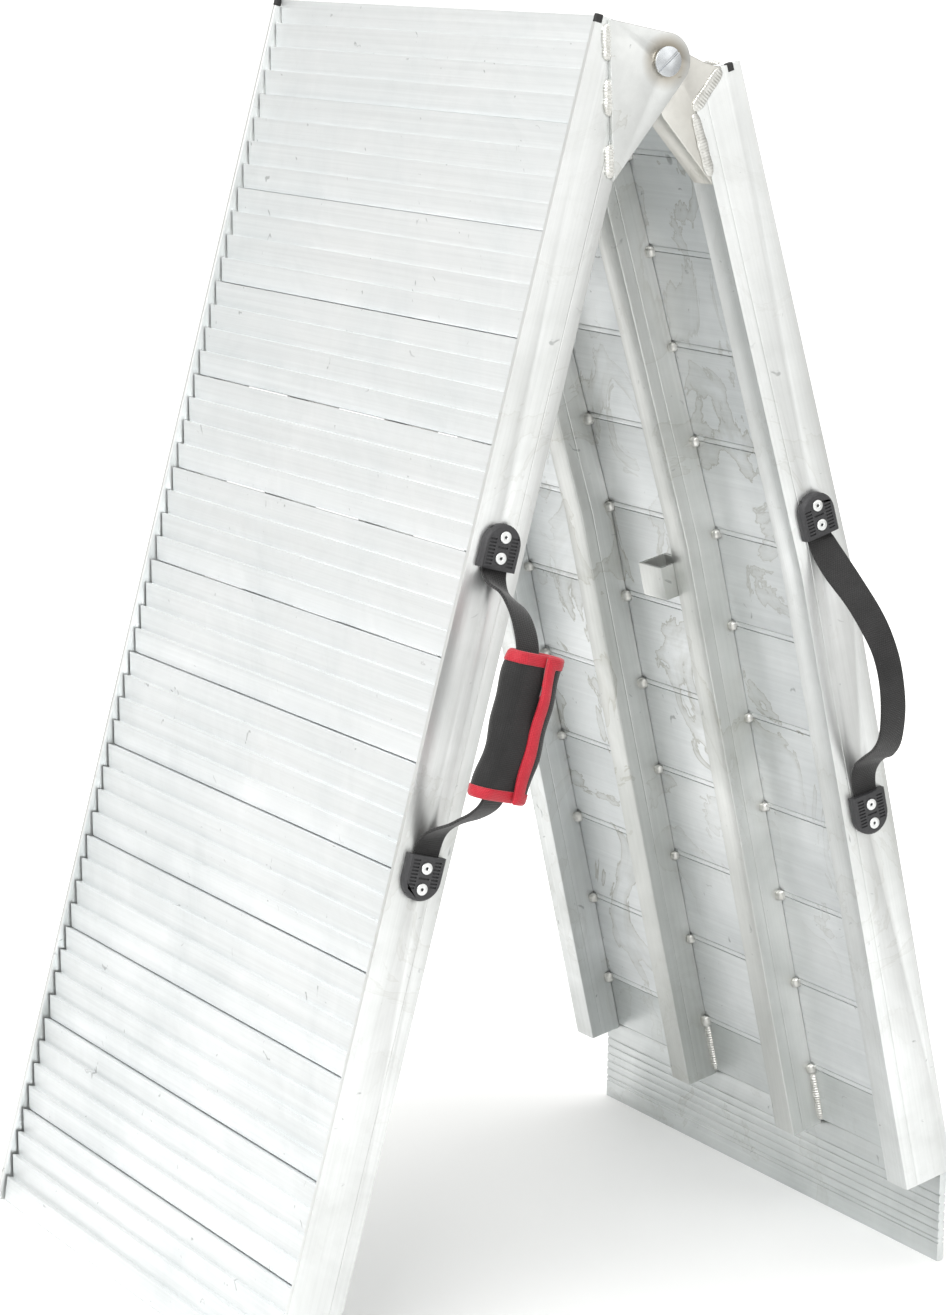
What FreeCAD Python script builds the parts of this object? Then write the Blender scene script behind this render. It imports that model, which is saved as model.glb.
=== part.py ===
import FreeCAD, Part
import math
import os

# Folding dog ramp: two aluminium halves that stand as an A-frame, joined by two pivot bolts at the top.
# The lower half has the ground foot, the upper half has the lip that rests on a vehicle.
# Every piece is drawn in its half's own frame (s down the half from its deck end, t in from the rail top)
# and then placed in the standing pose. -Y is the side with the carrying handles. Millimetres.

# ---- deck and frame sizes
tread_pitch = 76.0          # one tread plank, along the ramp
teeth = 4                   # sawteeth on each plank
lower_treads = 13           # the last one is the foot
upper_treads = 11           # the lip follows them
ramp_width = 480.0          # over the side rails
rail_width = 25.4           # box part of a side rail, and the stringers
rail_depth = 44.0           # from rail top to underside
tube_wall = 2.0
tread_thick = 15.5          # planks with the rail's side flange beside them
flange = 4.0                # thickness of that side flange
side_gap = 2.2              # plank end to flange
plank_gap = 0.6             # between planks
peak_drop = 3.2             # tooth peak below the rail top
tooth_height = 5.3
plank_wall = 1.4
stringer_edge = 88.5        # outer face of each stringer from the middle

# ---- hinge
pivot_in = 17.2             # pivot from the lower half's deck end
deck_gap = 1.2              # between the deck ends when the ramp is laid out
pivot_drop = 17.5           # pivot below the undersides
plate_thick = 4.0
plate_boss = 20.0
plate_reach = 107.0         # how far the lower hinge plates run down the rail
plate_top = 8.5             # their top corner below the rail top
block_boss = 16.0
block_side_gap = 0.5        # hinge block to each plate
bolt_radius = 6.0
bolt_clear = 0.05
head_radius = 10.6
head_height = 3.0
nut_across = 19.0
nut_height = 8.0

# ---- upper half
first_trim = 3.8            # the first upper plank is cut this much short
bend_after = 5              # the upper half bends at the joint after this plank
bend_angle = 3.4
lip_flat = 49.3             # lip extrusion lying in the deck, from the last joint to the lip bend
lip_bend = 13.4
lip_reach = 72.0
lip_thick = 6.0
lip_ribs = 6
lip_rib_pitch = 7.05

# ---- foot
foot_length = 66.0          # the underside is cut up to the toe over this length
foot_tip = 8.5              # depth of the toe's lower corner

# ---- handles
handle_from_pivot = 472.5
handle_half = 118.5         # handle middle to each rivet pair's middle
rivet_spacing = 15.0
cap_width = 30.5
cap_length = 32.5
cap_thick = 6.5
slot_pitch = 2.5
strap_width = 20.5
strap_thick = 2.2
grip_bow = 70.0             # how far the padded strap stands off the rail
strap_bow = 62.5            # the same for the plain strap
sleeve_length = 104.0
sleeve_shift = -3.5         # the sleeve sits this much above the handle's middle
sleeve_width = 43.0
sleeve_depth = 18.0
sleeve_wall = 4.0
binding = 1.0
binding_width = 8.0

# ---- standing pose
lower_tilt = 14.7           # lower half from the vertical

half_w = ramp_width / 2
pivot_depth = rail_depth + pivot_drop
pivot_ahead = pivot_in + deck_gap
bend_s = bend_after * tread_pitch - first_trim
rail_end = upper_treads * tread_pitch - first_trim + lip_flat
lower_length = lower_treads * tread_pitch
foot_cut = lower_length - foot_length
box_top = tread_thick
plank_end = half_w - flange - side_gap
near, far = -1, 1

shapes = {}


def upper_local(s, t):
    """Point of the upper half before tilting: distance along and in from the pivot, with the bend."""
    if s <= bend_s:
        return s + pivot_ahead, t - pivot_depth
    k = math.radians(bend_angle)
    ds = s - bend_s
    dt = t - box_top
    along = bend_s + pivot_ahead + ds * math.cos(k) - dt * math.sin(k)
    inward = box_top - pivot_depth + ds * math.sin(k) + dt * math.cos(k)
    return along, inward


def lip_local(u, t):
    """Point of the lip's tongue: u down the tongue from the lip bend, t in from the rail top."""
    k = math.radians(bend_angle + lip_bend)
    root_a, root_i = upper_local(rail_end, lip_top)
    dt = t - lip_top
    return root_a + u * math.cos(k) - dt * math.sin(k), root_i + u * math.sin(k) + dt * math.cos(k)


lip_top = 5.5
toe = (lower_length - pivot_in, foot_tip - pivot_depth)
tip = lip_local(lip_reach, lip_top + lip_thick)
low = math.radians(lower_tilt)
stand_height = toe[0] * math.cos(low) + toe[1] * math.sin(low)
upper_tilt = math.degrees(math.atan2(tip[1], tip[0]) + math.acos(stand_height / math.hypot(*tip)))


def lower(s, t, y=0.0):
    """World point of the lower half."""
    dx, dz = -math.sin(low), -math.cos(low)
    nx, nz = math.cos(low), -math.sin(low)
    a = s - pivot_in
    b = t - pivot_depth
    return FreeCAD.Vector(a * dx + b * nx, y, a * dz + b * nz)


def placed(along, inward, y=0.0):
    """World point of the upper half from its distances along and in from the pivot."""
    a = math.radians(upper_tilt)
    dx, dz = math.sin(a), -math.cos(a)
    nx, nz = -math.cos(a), -math.sin(a)
    return FreeCAD.Vector(along * dx + inward * nx, y, along * dz + inward * nz)


def upper(s, t, y=0.0):
    """World point of the upper half."""
    return placed(*upper_local(s, t), y)


def bend_point(t):
    """Local point of the upper half on the mitre line of its bend."""
    k = math.radians(bend_angle)
    dt = t - box_top
    return bend_s + pivot_ahead - dt * math.tan(k / 2), t - pivot_depth


def face_of(points):
    return Part.Face(Part.makePolygon(points + [points[0]]))


def prism(points, y0, y1):
    """Solid between y0 and y1 with the given outline, points as vectors with any y."""
    flat = [FreeCAD.Vector(p.x, min(y0, y1), p.z) for p in points]
    return face_of(flat).extrude(FreeCAD.Vector(0, abs(y1 - y0), 0))


def lower_prism(pairs, y0, y1):
    return prism([lower(s, t) for s, t in pairs], y0, y1)


def upper_prism(pairs, y0, y1):
    return prism([upper(s, t) for s, t in pairs], y0, y1)


def bent_outline(start, end, t_top, t_low):
    """Outline of a bar along the upper half: start and end are (s at t_top, s at t_low)."""
    points = [upper(start[0], t_top), upper(start[1], t_low), placed(*bend_point(t_low))]
    points += [upper(end[1], t_low), upper(end[0], t_top), placed(*bend_point(t_top))]
    return points


def rod(centre, radius, y0, y1):
    base = FreeCAD.Vector(centre.x, min(y0, y1), centre.z)
    return Part.makeCylinder(radius, abs(y1 - y0), base, FreeCAD.Vector(0, 1, 0))


def keep(name, shape):
    shape = shape.removeSplitter()
    shapes[name] = shape


side_names = {near: "near", far: "far"}
pivot = FreeCAD.Vector(0, 0, 0)


# ---- side rails and stringers of the lower half: box tubes cut off at the hinge and at the foot
def foot_s(t):
    """Where the foot's slanting cut lies at depth t."""
    run = (lower_length - foot_cut) / (rail_depth - foot_tip)
    return foot_cut + (rail_depth - t) * run


rail_mitre = 21.5
mitre_top = 17.5
pad = 5.2
pad_proud = 0.8


def lower_tube(y0, y1, mitred):
    w = tube_wall
    s_low = rail_mitre if mitred else 4.0
    top = [(0.0, box_top), (0.0, mitre_top)] if mitred else [(4.0, box_top)]
    outline = top + [(s_low, rail_depth), (foot_cut, rail_depth), (foot_s(box_top), box_top)]
    body = lower_prism(outline, y0, y1)
    t0 = box_top + w
    t1 = rail_depth - w
    core = [(-20, t0), (-20, t1), (foot_s(t1) - 3.0, t1), (foot_s(t0) - 3.0, t0)]
    return body.cut(lower_prism(core, min(y0, y1) + w, max(y0, y1) - w))


def rivet_points(half_point, middle):
    """The four rivet centres of a handle, top pair first."""
    out = []
    for end in (-1, 1):
        for step in (-0.5, 0.5):
            out.append(half_point(middle + end * handle_half + step * rivet_spacing))
    return out


mid_t = rail_depth / 2
lower_handle_s = pivot_in + handle_from_pivot
upper_handle_s = handle_from_pivot - pivot_ahead
lower_rivets = rivet_points(lambda s: lower(s, mid_t), lower_handle_s)
upper_rivets = rivet_points(lambda s: upper(s, mid_t), upper_handle_s)
shank = 2.4
shank_clear = 0.05

for side in (near, far):
    out_y = side * half_w
    rail = lower_tube(out_y, out_y - side * rail_width, True)
    wing = [(0.0, 0.0), (0.0, box_top), (foot_s(box_top), box_top), (lower_length, foot_tip)]
    wing += [(lower_length, 3.0), (lower_length - 3.0, 0.0)]
    rail = rail.fuse(lower_prism(wing, out_y, out_y - side * flange))
    notch = [(-1.0, -1.0), (-1.0, pad), (pad, pad), (pad, -1.0)]
    rail = rail.cut(lower_prism(notch, out_y + side, out_y - side * (flange + 1)))
    if side == near:
        for p in lower_rivets:
            rail = rail.cut(rod(p, shank + shank_clear, out_y + side, out_y - side * (tube_wall + 0.5)))
    keep("lower_side_rail_" + side_names[side], rail)
    edge = side * stringer_edge
    keep("lower_stringer_" + side_names[side], lower_tube(edge, edge - side * rail_width, False))


# ---- deck planks: hollow extrusions with sawteeth, a flat underside and one fine groove beside each joint
def teeth_line(s0, s1, count, peak_first):
    """Outline points of the sawteeth from s0 to s1. Peak and valley depth stay fixed."""
    peak = peak_drop
    valley = peak_drop + tooth_height
    step = (s1 - s0) / count
    points = []
    for i in range(count):
        a = s0 + i * step
        b = a + step
        if peak_first:
            points += [(a, peak), (b - 0.4, valley)]
        else:
            points += [(a + 0.4, valley), (b, peak)]
    return points


def plank(s0, s1, peak_first, groove_at):
    under = [(s1, tread_thick)]
    g = groove_at
    under += [(g + 0.5, tread_thick), (g + 0.5, tread_thick - 0.8), (g - 0.5, tread_thick - 0.8), (g - 0.5, tread_thick)]
    under += [(s0, tread_thick)]
    return teeth_line(s0, s1, teeth, peak_first) + under


def cells(s0, s1, peak_first):
    """The two long hollows of a plank. Each lies under two teeth, and its roof follows them one wall below."""
    w = plank_wall
    floor = tread_thick - w - 0.8
    step = (s1 - s0) / teeth
    shallow = peak_drop + w * (1 + tooth_height / step)
    deep = peak_drop + tooth_height + w
    rings = []
    for first in (0, 2):
        a = first * step
        b = a + step
        c = b + step
        ring = [(a + w, floor), (a + w, shallow), (b, deep), (b + w, shallow), (c - w, deep), (c - w, floor)]
        rings.append([(s0 + x, t) if peak_first else (s1 - x, t) for x, t in ring])
    return rings


for i in range(lower_treads - 1):
    s0 = i * tread_pitch + (0.0 if i == 0 else plank_gap / 2)
    s1 = (i + 1) * tread_pitch - plank_gap / 2
    body = lower_prism(plank(s0, s1, True, s1 - 4.3), -plank_end, plank_end)
    for cell in cells(s0, s1, True):
        body = body.cut(lower_prism(cell, -plank_end - 1, plank_end + 1))
    keep("lower_tread_%02d" % (i + 1), body)

# the foot plank: the same sawteeth with a shallow last one, its underside sloped to the toe on the rails' cut
s0 = (lower_treads - 1) * tread_pitch + plank_gap / 2
s1 = lower_length
step = (s1 - s0) / teeth
outline = teeth_line(s0, s1 - step, teeth - 1, True)
outline += [(s1 - step, peak_drop), (s1, lip_top), (s1, foot_tip), (foot_s(tread_thick), tread_thick), (s0, tread_thick)]
body = lower_prism(outline, -plank_end, plank_end)
under_two = cells(s0, s1, True)[0]
under_one = [(a + 2 * step, t) for a, t in under_two[:3]] + [(s0 + 3 * step, under_two[0][1])]
for cell in (under_two, under_one):
    body = body.cut(lower_prism(cell, -plank_end - 1, plank_end + 1))
keep("lower_foot_tread", body)

# ---- upper half: side rails and stringers, bent once, square cut at the lip
block_mitre = 22.5


def upper_tube(y0, y1, mitred):
    w = tube_wall
    s_low = block_mitre if mitred else 4.0
    s_top = 0.0 if mitred else 4.0
    outline = bent_outline((s_top, s_low), (rail_end, rail_end), box_top, rail_depth)
    body = prism(outline, y0, y1)
    core = bent_outline((-20.0, -20.0), (rail_end + 20, rail_end + 20), box_top + w, rail_depth - w)
    return body.cut(prism(core, min(y0, y1) + w, max(y0, y1) - w))


pad_low = 6.2
for side in (near, far):
    out_y = side * half_w
    rail = upper_tube(out_y, out_y - side * rail_width, True)
    wing = bent_outline((0.0, 0.0), (rail_end, rail_end), 0.0, box_top)
    rail = rail.fuse(prism(wing, out_y, out_y - side * flange))
    notch = [(-1.0, pad_low), (-1.0, pad_low + pad), (pad, pad_low + pad), (pad, pad_low)]
    rail = rail.cut(upper_prism(notch, out_y + side, out_y - side * (flange + 1)))
    if side == near:
        for p in upper_rivets:
            rail = rail.cut(rod(p, shank + shank_clear, out_y + side, out_y - side * (tube_wall + 0.5)))
    keep("upper_side_rail_" + side_names[side], rail)
    edge = side * stringer_edge
    keep("upper_stringer_" + side_names[side], upper_tube(edge, edge - side * rail_width, False))

for i in range(upper_treads):
    s0 = 0.0 if i == 0 else i * tread_pitch - first_trim + plank_gap / 2
    s1 = (i + 1) * tread_pitch - first_trim - plank_gap / 2
    body = upper_prism(plank(s0 + 0.001, s1, False, s1 - 4.3), -plank_end, plank_end)
    for cell in cells(s0, s1, False):
        body = body.cut(upper_prism(cell, -plank_end - 1, plank_end + 1))
    keep("upper_tread_%02d" % (i + 1), body)

# ---- the lip: one extrusion, its root lies in the deck between the rails and its tongue bends down past them
s0 = upper_treads * tread_pitch - first_trim + plank_gap / 2
outline = teeth_line(s0, s0 + 38.0, 2, False)
outline += [(s0 + 38.4, lip_top), (rail_end, lip_top), (rail_end, lip_top + lip_thick)]
outline += [(rail_end - 4.0, tread_thick), (s0, tread_thick)]
root = upper_prism(outline, -plank_end, plank_end)
cell_top = peak_drop + tooth_height + plank_wall
cell = [(s0 + 2, cell_top), (s0 + 2, 13.3), (s0 + 36, 13.3), (s0 + 36, cell_top)]
root = root.cut(upper_prism(cell, -plank_end - 1, plank_end + 1))


def tongue_points(pairs):
    return [placed(*lip_local(u, t)) for u, t in pairs]


lip_under = lip_top + lip_thick
tongue = prism(
    tongue_points([(0, lip_top), (lip_reach - 1.5, lip_top), (lip_reach, lip_top + 1.5), (lip_reach, lip_under)])
    + [upper(rail_end, lip_under + 0.001)], -half_w, half_w)
for i in range(lip_ribs + 1):
    back = 14.9 if i == lip_ribs else 18.5 + i * lip_rib_pitch
    u = lip_reach - back
    for t_open, t_deep in ((lip_under + 0.5, lip_under - 1.1), (lip_top - 0.5, lip_top + 1.1)):
        groove = tongue_points([(u - 1.0, t_open), (u + 1.0, t_open), (u + 0.5, t_deep), (u - 0.5, t_deep)])
        tongue = tongue.cut(prism(groove, -half_w - 1, half_w + 1))
keep("upper_lip", root.fuse(tongue))

# ---- hinge plates of the lower half, lapped on both faces of each side rail
corner = (plate_reach, rail_depth - 1.6)
reach = math.hypot(corner[0] - pivot_in, pivot_depth - corner[1])
aim = math.atan2(pivot_depth - corner[1], pivot_in - corner[0]) - math.asin(plate_boss / reach)
slide = math.sqrt(reach ** 2 - plate_boss ** 2)
tangent = (corner[0] + slide * math.cos(aim), corner[1] + slide * math.sin(aim))
hole = bolt_radius + bolt_clear
for side in (near, far):
    for place in ("outer", "inner"):
        top_t = plate_top if place == "outer" else tread_thick + 0.5
        lean = (top_t - plate_top) / (pivot_depth - plate_top)
        back_s = 0.9 + (top_t - plate_top) * (plate_reach - 0.9) / (corner[1] - plate_top)
        front_s = 0.9 - lean * 3.7
        outline = [(front_s, top_t), (pivot_in - plate_boss, pivot_depth), (pivot_in, pivot_depth), tangent, corner]
        if place == "inner":
            outline.append((back_s, top_t))
        face = side * half_w if place == "outer" else side * (half_w - rail_width)
        away = face + side * plate_thick if place == "outer" else face - side * plate_thick
        body = lower_prism(outline, face, away).fuse(rod(pivot, plate_boss, face, away))
        body = body.cut(rod(pivot, hole, face + 9, face - 9))
        keep("lower_hinge_plate_%s_%s" % (place, side_names[side]), body)

# ---- hinge blocks of the upper half, welded across each side rail's mitred end
for side in (near, far):
    y0 = side * (half_w - block_side_gap)
    y1 = side * (half_w - rail_width + block_side_gap)
    outline = [(0.0, tread_thick), (block_mitre, rail_depth), (77.5, rail_depth), (19.6, pivot_depth + 10.0)]
    outline += [(-pivot_ahead + 1.8, pivot_depth + block_boss - 0.3), (-pivot_ahead, pivot_depth)]
    outline += [(-pivot_ahead - 9.7, pivot_depth - 8.8), (-8.1, pivot_depth - 32.0), (-2.6, tread_thick + 5.5)]
    body = upper_prism(outline, y0, y1).fuse(rod(pivot, block_boss, y0, y1))
    body = body.cut(rod(pivot, hole, y0 + 5 * side, y1 - 5 * side))
    keep("upper_hinge_block_" + side_names[side], body)

# ---- pivot bolts with slotted heads outside and hexagon nuts inside
for side in (near, far):
    skin = side * (half_w + plate_thick)
    inner = side * (half_w - rail_width - plate_thick)
    end = inner - side * (nut_height + 1.5)
    body = rod(pivot, head_radius, skin, skin + side * head_height).fuse(rod(pivot, bolt_radius, skin, end))
    slot = Part.makeBox(24, 1.4, 2.0, FreeCAD.Vector(-12, -0.7, -1.0))
    slot.rotate(FreeCAD.Vector(0, 0, 0), FreeCAD.Vector(1, 0, 0), 90)
    slot.rotate(FreeCAD.Vector(0, 0, 0), FreeCAD.Vector(0, 1, 0), -40)
    slot.translate(FreeCAD.Vector(0, skin + side * head_height, 0))
    body = body.cut(slot)
    keep("pivot_bolt_" + side_names[side], body)
    flats = nut_across / math.sqrt(3)
    hexagon = [FreeCAD.Vector(flats * math.cos(math.radians(60 * k)), 0, flats * math.sin(math.radians(60 * k)))
               for k in range(6)]
    nut = prism(hexagon, inner, inner - side * nut_height)
    keep("pivot_nut_" + side_names[side], nut.cut(rod(pivot, bolt_radius, inner + side * 5, inner - side * 15)))

# ---- stop pads: small rubber blocks let into the ends of the rail flanges
for side in (near, far):
    y0 = side * half_w
    y1 = side * (half_w - flange)
    low_pad = [(-pad_proud, 0.0), (-pad_proud, pad), (pad, pad), (pad, 0.0)]
    keep("lower_stop_pad_" + side_names[side], lower_prism(low_pad, y0, y1))
    up_pad = [(s, t + pad_low) for s, t in low_pad]
    keep("upper_stop_pad_" + side_names[side], upper_prism(up_pad, y0, y1))

# ---- spacer block: a short offcut of tube welded beside the near stringer of the upper half
s0 = 5.27 * tread_pitch - first_trim
s1 = s0 + 26.5
y0 = -stringer_edge + rail_width
y1 = y0 + 31.0
t0 = 30.0
t1 = rail_depth + 12.0
body = upper_prism([(s0, t0), (s0, t1), (s1, t1), (s1, t0)], y0, y1)
body = body.cut(upper_prism([(s0 - 1, t0 + 2.5), (s0 - 1, t1 - 2.5), (s1 + 1, t1 - 2.5), (s1 + 1, t0 + 2.5)],
                            y0 + 2.5, y1 - 2.5))
keep("upper_spacer_block", body)


# ---- handles: webbing strap, two moulded end caps, four blind rivets, all on the near side rails
def ribbon(path, half_point, along_dir, width_dir, thick):
    """Strap solid: path is (distance along, height off the rail) of its middle, swept flat across its width."""
    left = []
    right = []
    for i, (a, h) in enumerate(path):
        a0, h0 = path[max(i - 1, 0)]
        a1, h1 = path[min(i + 1, len(path) - 1)]
        length = math.hypot(a1 - a0, h1 - h0)
        na, nh = -(h1 - h0) / length, (a1 - a0) / length
        left.append((a + na * thick / 2, h + nh * thick / 2))
        right.append((a - na * thick / 2, h - nh * thick / 2))
    ring = left + right[::-1]
    shift = width_dir * (-strap_width / 2)
    points = [half_point + along_dir * a + FreeCAD.Vector(0, -h, 0) + shift for a, h in ring]
    return face_of(points).extrude(width_dir * strap_width)


def curve(p0, p1, p2, p3, steps):
    """Points of a cubic curve with the given ends and handles."""
    out = []
    for i in range(steps + 1):
        u = i / steps
        v = 1 - u
        out.append(tuple(v ** 3 * p0[k] + 3 * v * v * u * p1[k] + 3 * v * u * u * p2[k] + u ** 3 * p3[k]
                         for k in range(2)))
    return out


strap_lie = strap_thick / 2
strap_end = handle_half + rivet_spacing / 2 + 4.5
exit_s = handle_half - rivet_spacing / 2 - 8.5


def strap_path(prefix):
    """Strap from its end under one cap to its end under the other, off the rail along a curve each way."""
    start = (-exit_s, strap_lie)
    end = (exit_s, strap_lie)
    if prefix == "lower":
        flat0 = sleeve_shift - sleeve_length / 2 - 1.5
        flat1 = sleeve_shift + sleeve_length / 2 + 1.5
        rise = curve(start, (-exit_s + 26, strap_lie), (flat0 - 37, 0.74 * grip_bow), (flat0, grip_bow), 14)
        fall = curve((flat1, grip_bow), (flat1 + 32, 0.66 * grip_bow), (exit_s - 34, strap_lie), end, 14)
    else:
        rise = curve(start, (-exit_s + 30, strap_lie), (-48, strap_bow), (0, strap_bow), 16)
        fall = curve((0, strap_bow), (60, strap_bow - 4), (exit_s - 38, strap_lie), end, 16)[1:]
    return [(-strap_end, strap_lie)] + rise + fall + [(strap_end, strap_lie)]


def cap_solid(centre, along_dir, width_dir):
    """End cap: flat end towards the handle's middle (along_dir), round end away, hollow under for the strap."""
    r = cap_width / 2

    def point(a, w, h):
        return centre + along_dir * a + width_dir * w + FreeCAD.Vector(0, -h, 0)

    def outline(shrink, h):
        rr = r - shrink
        round_centre = exit_s_gap - cap_length + r
        pts = [point(exit_s_gap, rr, h), point(exit_s_gap, -rr, h)]
        for k in range(17):
            ang = math.radians(-90 - 180 * k / 16)
            pts.append(point(round_centre + rr * math.cos(ang), rr * math.sin(ang), h))
        return pts

    base = face_of(outline(0, 0)).extrude(FreeCAD.Vector(0, -(cap_thick - 2.0), 0))
    low_ring = Part.makePolygon(outline(0, cap_thick - 2.0) + [outline(0, cap_thick - 2.0)[0]])
    top_ring = Part.makePolygon(outline(1.8, cap_thick) + [outline(1.8, cap_thick)[0]])
    body = base.fuse(Part.makeLoft([low_ring, top_ring], True, True))
    w = strap_width / 2 + 0.8
    a0 = exit_s_gap - cap_length + 3.0
    tunnel = [point(exit_s_gap + 1, w, -1), point(exit_s_gap + 1, -w, -1), point(a0, -w, -1), point(a0, w, -1)]
    body = body.cut(face_of(tunnel).extrude(FreeCAD.Vector(0, -(1 + strap_thick + 0.05), 0)))
    for k in range(9):
        a = exit_s_gap - 3.0 - slot_pitch * k
        for side in (-1, 1):
            if k > 7 and side < 0:
                continue
            w0 = side * 6.0
            w1 = side * 11.4
            slot = [point(a, w0, cap_thick + 1), point(a, w1, cap_thick + 1)]
            slot += [point(a - 1.2, w1, cap_thick + 1), point(a - 1.2, w0, cap_thick + 1)]
            body = body.cut(face_of(slot).extrude(FreeCAD.Vector(0, 2.2, 0)))
    slot = [point(0.65, -4.2, cap_thick + 1), point(0.65, 4.2, cap_thick + 1)]
    slot += [point(-0.65, 4.2, cap_thick + 1), point(-0.65, -4.2, cap_thick + 1)]
    return body.cut(face_of(slot).extrude(FreeCAD.Vector(0, 2.2, 0)))


exit_s_gap = handle_half - exit_s


def handle(prefix, rivets, top_dir, low_dir):
    """Caps, rivets and strap of one handle. rivets are its four centres; dirs point down the rail at each end."""
    face = -half_w
    top = (rivets[0] + rivets[1]) * 0.5
    bottom = (rivets[2] + rivets[3]) * 0.5
    middle = (top + bottom) * 0.5
    chord = (bottom - top).normalize()
    across = FreeCAD.Vector(-chord.z, 0, chord.x)
    lift = FreeCAD.Vector(0, face, 0)
    for name, centre, out in (("top", top, top_dir), ("bottom", bottom, low_dir * -1)):
        wide = FreeCAD.Vector(-out.z, 0, out.x)
        body = cap_solid(centre + lift, out, wide)
        pair = rivets[:2] if name == "top" else rivets[2:]
        for p in pair:
            body = body.cut(rod(p, shank + shank_clear, face + 1, face - cap_thick - 1))
        keep("%s_handle_cap_%s" % (prefix, name), body)
        studs = None
        for p in pair:
            stud = rod(p, 4.3, face - cap_thick, face - cap_thick - 1.2)
            stud = stud.fuse(rod(p, shank, face - cap_thick - 0.5, face + tube_wall))
            stud = stud.fuse(rod(p, 3.4, face + tube_wall, face + tube_wall + 4.0))
            stud = stud.cut(rod(p, 1.1, face - cap_thick - 2, face - cap_thick + 1.5))
            studs = stud if studs is None else studs.fuse(stud)
        keep("%s_handle_rivets_%s" % (prefix, name), studs)
    body = ribbon(strap_path(prefix), middle + lift, chord, across, strap_thick)
    for p in rivets:
        body = body.cut(rod(p, shank + shank_clear, face + 1, face - cap_thick))
    keep("%s_handle_strap" % prefix, body)
    return middle + lift, chord, across


low_dir = (lower(1, 0) - lower(0, 0)).normalize()
up_dir = (upper(1, 0) - upper(0, 0)).normalize()
up_dir_2 = (upper(rail_end, 0) - upper(rail_end - 1, 0)).normalize()
grip, chord, across = handle("lower", lower_rivets, low_dir, low_dir)
handle("upper", upper_rivets, up_dir, up_dir_2)


# ---- grip sleeve: a padded wrap round the lower half's strap, bound in red webbing at its ends and lap
def stadium(width, depth, along0, along1, off):
    """Flattened tube section, swept along the handle. off is its middle's height off the rail."""
    r = depth / 2
    points = []
    for end in (-1, 1):
        for k in range(13):
            ang = math.radians(-90 + 180 * k / 12) if end > 0 else math.radians(90 + 180 * k / 12)
            w = end * (width / 2 - r) + r * math.cos(ang)
            points.append((w, off + r * math.sin(ang)))
    ring = [grip + chord * along0 + across * w + FreeCAD.Vector(0, -h, 0) for w, h in points]
    return face_of(ring).extrude(chord * (along1 - along0))


sleeve_mid = grip_bow - strap_thick / 2 + (sleeve_depth / 2 - sleeve_wall)
grip = grip + chord * sleeve_shift
half_l = sleeve_length / 2
body = stadium(sleeve_width, sleeve_depth, -half_l, half_l, sleeve_mid)
hollow = stadium(sleeve_width - 2 * sleeve_wall, sleeve_depth - 2 * sleeve_wall, -half_l - 1, half_l + 1, sleeve_mid)
keep("grip_sleeve", body.cut(hollow))
bands = None
for a0, a1 in ((-half_l, -half_l + binding_width), (half_l - binding_width, half_l)):
    band = stadium(sleeve_width + 2 * binding, sleeve_depth + 2 * binding, a0, a1, sleeve_mid)
    band = band.cut(stadium(sleeve_width, sleeve_depth, a0 - 1, a1 + 1, sleeve_mid))
    bands = band if bands is None else bands.fuse(band)
w0 = 6.0
h0 = sleeve_mid + sleeve_depth / 2
strip = [grip + chord * -half_l + across * w + FreeCAD.Vector(0, -h0, 0) for w in (w0, w0 + binding_width)]
strip += [p + chord * sleeve_length for p in strip[::-1]]
bands = bands.fuse(face_of(strip).extrude(FreeCAD.Vector(0, -binding, 0)))
keep("grip_sleeve_binding", bands)

# ---- put the row's origin at the middle of the footprint and write every piece
box = FreeCAD.BoundBox()
for shape in shapes.values():
    box.add(shape.BoundBox)
shift = FreeCAD.Vector(-(box.XMin + box.XMax) / 2, -(box.YMin + box.YMax) / 2, -box.ZMin)
os.makedirs("parts", exist_ok=True)
for name, shape in shapes.items():
    shape.translate(shift)
    shape.exportStep("parts/" + name + ".step")
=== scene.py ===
import math

import bmesh
import bpy
import numpy as np
from mathutils import Matrix, Vector


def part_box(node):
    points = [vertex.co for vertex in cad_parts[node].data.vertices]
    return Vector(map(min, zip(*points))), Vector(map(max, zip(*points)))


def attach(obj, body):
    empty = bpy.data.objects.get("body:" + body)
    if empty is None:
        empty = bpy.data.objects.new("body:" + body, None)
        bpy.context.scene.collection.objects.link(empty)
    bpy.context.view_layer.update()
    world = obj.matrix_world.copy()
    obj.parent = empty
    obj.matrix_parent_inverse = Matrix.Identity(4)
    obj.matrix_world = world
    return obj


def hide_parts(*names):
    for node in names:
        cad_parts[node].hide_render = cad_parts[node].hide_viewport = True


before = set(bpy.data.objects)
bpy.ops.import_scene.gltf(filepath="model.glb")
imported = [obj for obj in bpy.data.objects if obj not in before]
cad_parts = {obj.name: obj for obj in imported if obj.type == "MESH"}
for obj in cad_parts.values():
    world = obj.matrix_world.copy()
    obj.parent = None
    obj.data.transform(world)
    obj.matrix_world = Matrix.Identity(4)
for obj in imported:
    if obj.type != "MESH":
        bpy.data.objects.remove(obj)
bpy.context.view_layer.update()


# ---- the studio: a pale seamless floor, a white room and three large soft boxes.
# The ramp stands on the floor and is seen from the handle side, a little above its middle.
def linear(code):
    """sRGB hex to linear RGBA: below 0.04045 c / 12.92, above it ((c + 0.055) / 1.055) to the power 2.4."""
    c = np.array([int(code[i:i + 2], 16) for i in (1, 3, 5)]) / 255
    c = np.where(c <= 0.04045, c / 12.92, ((c + 0.055) / 1.055) ** 2.4)
    return (*c.tolist(), 1.0)


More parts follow.
